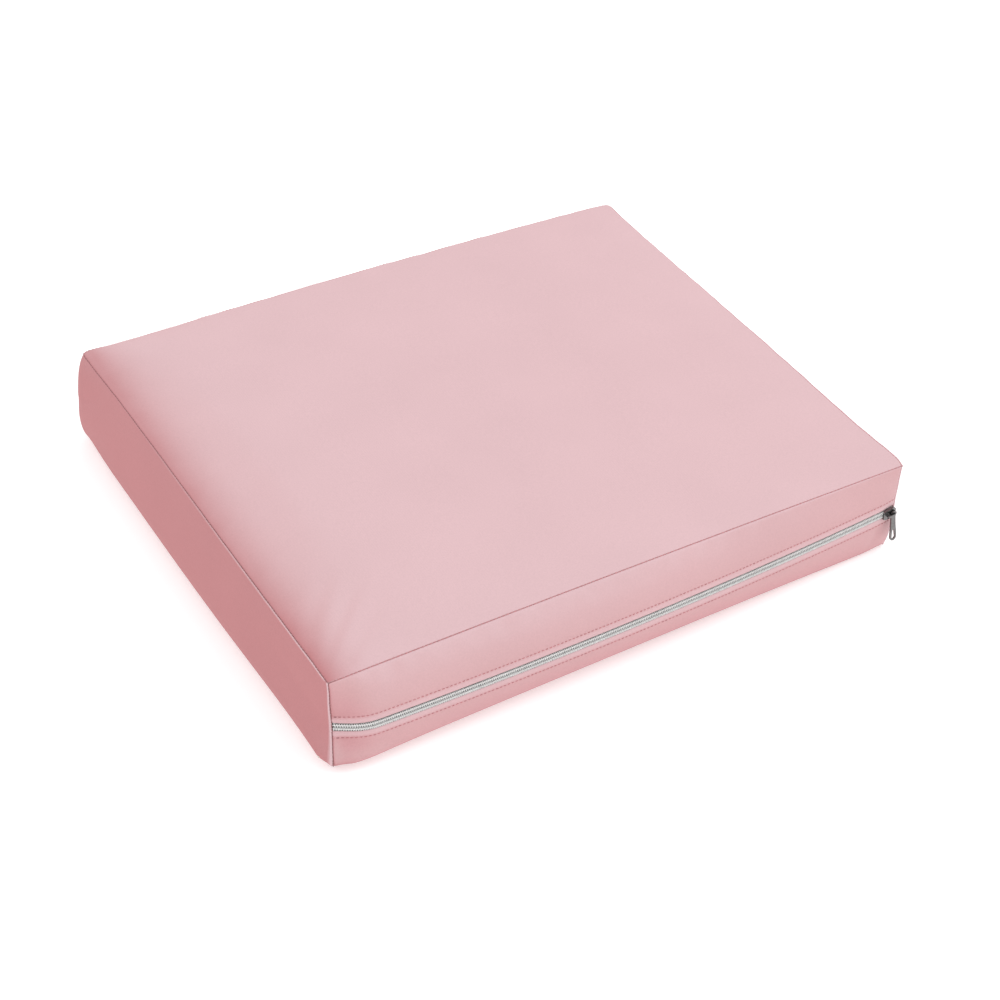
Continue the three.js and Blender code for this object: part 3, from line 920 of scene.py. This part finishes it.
def fabric_material():
    """Short brushed pile on a fine knit: soft sheen, faint mottling and a fine grain."""
    material, nodes, links, bsdf = blank_material("cover_fabric")
    position = object_position(nodes)
    broad = mapped(nodes, links, noise_texture(nodes, links, position, 14), 0.3, 0.7, 0.985, 1.015)
    fibres = mapped(nodes, links, noise_texture(nodes, links, position, 900, 3), 0.3, 0.7, 0.965, 1.03)
    shade = arithmetic(nodes, links, "MULTIPLY", broad, fibres)
    # the pile colour carries painted light and shade by facing, painted shade beside the top's left seam, and
    # painted highlights on hems and beads
    painted_pile = left_seam_shade_colour(nodes, links, painted_light_colour(nodes, links), position)
    painted_pile = painted_highlight_colour(nodes, links, painted_pile)
    links.new(scaled_colour(nodes, links, painted_pile, shade), bsdf.inputs["Base Color"])
    bsdf.inputs["Roughness"].default_value = 0.9
    bsdf.inputs["Specular IOR Level"].default_value = 0.15
    bsdf.inputs["Sheen Weight"].default_value = 0.12
    bsdf.inputs["Sheen Roughness"].default_value = 0.45
    bsdf.inputs["Sheen Tint"].default_value = (1, 0.85, 0.87, 1)
    knit = nodes.new("ShaderNodeTexWave")
    knit.inputs["Scale"].default_value = 190
    knit.inputs["Distortion"].default_value = 1.5
    knit.inputs["Detail Scale"].default_value = 3
    links.new(position, knit.inputs["Vector"])
    grain = noise_texture(nodes, links, position, 1400, 3)
    height = arithmetic(nodes, links, "ADD", grain, arithmetic(nodes, links, "MULTIPLY", knit.outputs["Fac"], 0.25))
    bump(nodes, links, bsdf, height, 0.35, 0.12 * MM)
    return material


def thread_material():
    """Twisted sewing thread, a deeper rose than the fabric, with painted shade darkening it along the left seams.
    """
    material, nodes, links, bsdf = blank_material("sewing_thread")
    position = object_position(nodes)
    strands = mapped(nodes, links, noise_texture(nodes, links, position, 700), 0.3, 0.7, 0.85, 1.15)
    place = nodes.new("ShaderNodeSeparateXYZ")
    links.new(position, place.inputs[0])
    # painted shade: the thread in the left seams' grooves is darkened
    from_left = mapped(nodes, links, place.outputs["X"], 3 * MM - SIDE, 9 * MM - SIDE, 0.6, 1)
    tone = arithmetic(nodes, links, "MULTIPLY", strands, from_left)
    links.new(scaled_colour(nodes, links, (0.52, 0.20, 0.215, 1), tone), bsdf.inputs["Base Color"])
    bsdf.inputs["Roughness"].default_value = 0.6
    bsdf.inputs["Sheen Weight"].default_value = 0.2
    twist = nodes.new("ShaderNodeTexWave")
    twist.bands_direction = "DIAGONAL"
    twist.inputs["Scale"].default_value = 900
    links.new(position, twist.inputs["Vector"])
    bump(nodes, links, bsdf, twist.outputs["Fac"], 0.6, 0.08 * MM)
    return material


def tape_material():
    """Plain woven polyester tape, light grey."""
    material, nodes, links, bsdf = blank_material("zipper_tape")
    position = object_position(nodes)
    weft = nodes.new("ShaderNodeTexWave")
    weft.inputs["Scale"].default_value = 500
    links.new(position, weft.inputs["Vector"])
    warp = nodes.new("ShaderNodeTexWave")
    warp.bands_direction = "Z"
    warp.inputs["Scale"].default_value = 500
    links.new(position, warp.inputs["Vector"])
    weave = arithmetic(nodes, links, "MULTIPLY", weft.outputs["Fac"], warp.outputs["Fac"])
    tone = mapped(nodes, links, weave, 0, 1, 0.8, 1)
    links.new(scaled_colour(nodes, links, (0.84, 0.84, 0.835, 1), tone), bsdf.inputs["Base Color"])
    bsdf.inputs["Roughness"].default_value = 0.8
    bump(nodes, links, bsdf, weave, 0.5, 0.1 * MM)
    return material


def coil_material():
    """Pale nylon wire with a slight gloss, small marks of wear, and painted shade where the halves mesh."""
    material, nodes, links, bsdf = blank_material("coil_nylon")
    position = object_position(nodes)
    wear = mapped(nodes, links, noise_texture(nodes, links, position, 300), 0.3, 0.7, 0.9, 1.05)
    tone = arithmetic(nodes, links, "MULTIPLY", wear, zipper_centre_shade(nodes, links, position))
    links.new(scaled_colour(nodes, links, (0.80, 0.80, 0.79, 1), tone), bsdf.inputs["Base Color"])
    rough = mapped(nodes, links, noise_texture(nodes, links, position, 900), 0.3, 0.7, 0.3, 0.5)
    links.new(rough, bsdf.inputs["Roughness"])
    bump(nodes, links, bsdf, noise_texture(nodes, links, position, 2500), 0.2, 0.03 * MM)
    return material


def metal_material():
    """Nickel plate with polishing marks and dull spots."""
    material, nodes, links, bsdf = blank_material("nickel")
    position = object_position(nodes)
    tone = mapped(nodes, links, noise_texture(nodes, links, position, 500), 0.3, 0.7, 0.85, 1.1)
    links.new(scaled_colour(nodes, links, (0.19, 0.185, 0.185, 1), tone), bsdf.inputs["Base Color"])
    bsdf.inputs["Metallic"].default_value = 1
    rough = mapped(nodes, links, noise_texture(nodes, links, position, 1200, 4), 0.3, 0.7, 0.14, 0.32)
    links.new(rough, bsdf.inputs["Roughness"])
    bump(nodes, links, bsdf, noise_texture(nodes, links, position, 3000), 0.15, 0.02 * MM)
    return material


def foam_material():
    """Open-cell foam."""
    material, nodes, links, bsdf = blank_material("foam")
    position = object_position(nodes)
    cells = nodes.new("ShaderNodeTexVoronoi")
    cells.inputs["Scale"].default_value = 900
    links.new(position, cells.inputs["Vector"])
    tone = mapped(nodes, links, cells.outputs["Distance"], 0, 0.7, 0.75, 1.05)
    links.new(scaled_colour(nodes, links, (0.80, 0.77, 0.68, 1), tone), bsdf.inputs["Base Color"])
    bsdf.inputs["Roughness"].default_value = 0.95
    bump(nodes, links, bsdf, cells.outputs["Distance"], 0.8, 0.4 * MM)
    return material


def floor_material():
    """Matt white studio paper, softly lit from below as on a light table."""
    material, nodes, links, bsdf = blank_material("studio_paper")
    position = object_position(nodes)
    tone = mapped(nodes, links, noise_texture(nodes, links, position, 60), 0.3, 0.7, 0.995, 1.0)
    links.new(scaled_colour(nodes, links, (0.82, 0.82, 0.82, 1), tone), bsdf.inputs["Base Color"])
    bsdf.inputs["Emission Color"].default_value = (1, 1, 1, 1)
    bsdf.inputs["Emission Strength"].default_value = 0.4
    bsdf.inputs["Roughness"].default_value = 1
    bsdf.inputs["Specular IOR Level"].default_value = 0
    return material


def dress(obj, material, slot, *nodes):
    """Gives a piece its material and ties it to the frame."""
    obj.data.materials.clear()
    obj.data.materials.append(material)
    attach(obj, "cover")
    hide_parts(*nodes)
    return obj


# ---------- Studio ----------

CAMERA_LENS = 75.13
CAMERA_AZIMUTH = -30.71
CAMERA_ELEVATION = 39.47
CAMERA_ROLL = 1.236
CAMERA_DISTANCE = 1.5161
CAMERA_TARGET = Vector((-0.0191, -0.058, 0.038))


def add_camera():
    azimuth = math.radians(CAMERA_AZIMUTH)
    elevation = math.radians(CAMERA_ELEVATION)
    flat = math.cos(elevation)
    back = Vector((math.sin(azimuth) * flat, -math.cos(azimuth) * flat, math.sin(elevation)))
    data = bpy.data.cameras.new("camera")
    data.lens = CAMERA_LENS
    data.clip_end = 50
    camera = bpy.data.objects.new("camera", data)
    bpy.context.scene.collection.objects.link(camera)
    turn = (-back).to_track_quat("-Z", "Y").to_matrix() @ Matrix.Rotation(math.radians(CAMERA_ROLL), 3, "Z")
    camera.matrix_world = Matrix.Translation(CAMERA_TARGET + back * CAMERA_DISTANCE) @ turn.to_4x4()
    bpy.context.scene.camera = camera


def add_area_light(name, place, size, power):
    data = bpy.data.lights.new(name, "AREA")
    data.shape = "DISK"
    data.size = size
    data.energy = power
    light = bpy.data.objects.new(name, data)
    bpy.context.scene.collection.objects.link(light)
    light.location = place
    light.rotation_euler = (-Vector(place)).to_track_quat("-Z", "Y").to_euler()


def add_world(strength):
    world = bpy.data.worlds.new("studio")
    world.use_nodes = True
    background = world.node_tree.nodes["Background"]
    background.inputs["Color"].default_value = (1, 1, 1, 1)
    background.inputs["Strength"].default_value = strength
    bpy.context.scene.world = world


def add_floor():
    half = 6
    corners = [(-half, -half, 0), (half, -half, 0), (half, half, 0), (-half, half, 0)]
    floor = new_mesh_object("floor", corners, [(0, 1, 2, 3)])
    floor.location.z = -0.2 * MM
    floor.data.materials.append(floor_material())


def add_studio():
    add_floor()
    add_camera()
    add_world(1.0)
    add_area_light("key", (1.2, -0.4, 2.6), 2.0, 16)
    bpy.context.scene.view_settings.view_transform = "Standard"


# ---------- Assembly ----------


def build():
    cover, points, normals = puffed_cover()
    fabric = fabric_material()
    thread = thread_material()
    tape_cloth = tape_material()
    nylon = coil_material()
    nickel = metal_material()

    all_sides = [(0, False), (0, True), (1, False), (1, True)]
    top = panel_mesh("top_panel_soft", points[cover.top], normals[cover.top], all_sides)
    bottom = panel_mesh("bottom_panel_soft", points[cover.bottom], normals[cover.bottom], all_sides)
    band = panel_mesh("wall_band_soft", points[cover.band], normals[cover.band], all_sides, beaded=True)
    upper = front_strip("front_upper_strip_soft", cover, points, normals, 0, UPPER_FOLD_ROW, 1)
    lower = front_strip("front_lower_strip_soft", cover, points, normals, LOWER_FOLD_ROW, LAST_ROW, -1)
    dress(top, fabric, "cover_fabric", "top_panel")
    dress(bottom, fabric, "cover_fabric", "bottom_panel")
    dress(band, fabric, "cover_fabric", "wall_band")
    dress(upper, fabric, "cover_fabric", "front_upper_strip")
    dress(lower, fabric, "cover_fabric", "front_lower_strip")

    ring = np.append(cover.wall[0], cover.wall[0][0])
    low_ring = np.append(cover.wall[-1], cover.wall[-1][0])
    left = cover.wall[:, 0]
    right = cover.wall[:, COLUMNS]
    for name, line in (("top_seam", ring), ("bottom_seam", low_ring),
                       ("left_corner_seam", left), ("right_corner_seam", right)):
        row = seam_thread(name + "_stitches", points[line], normals[line])
        dress(row, thread, "sewing_thread", name + "_thread")
    for name, strip, side in (("upper", upper, 1), ("lower", lower, -1)):
        row = topstitch(name + "_topstitches", strip, ZIPPER_Z + side * TOPSTITCH)
        dress(row, thread, "sewing_thread", name + "_topstitch_thread")
        dress(tape(f"zipper_tape_{name}_woven", side), tape_cloth, "zipper_tape", "zipper_tape_" + name)
        dress(coil(f"zipper_coil_{name}_wound", side), nylon, "coil_nylon", "zipper_coil_" + name)
        dress(cord(f"zipper_cord_{name}_round", side), nylon, "coil_nylon", "zipper_cord_" + name)
    dress(foam(cover, points, normals), foam_material(), "foam", "foam_core")

    for name in ("slider_body", "pull_tab"):
        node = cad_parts[name]
        node.material_slots[0].material = nickel
        edge = node.modifiers.new("worn_edges", "BEVEL")
        edge.width = 0.12 * MM
        edge.segments = 2
        edge.limit_method = "ANGLE"


build()
add_studio()
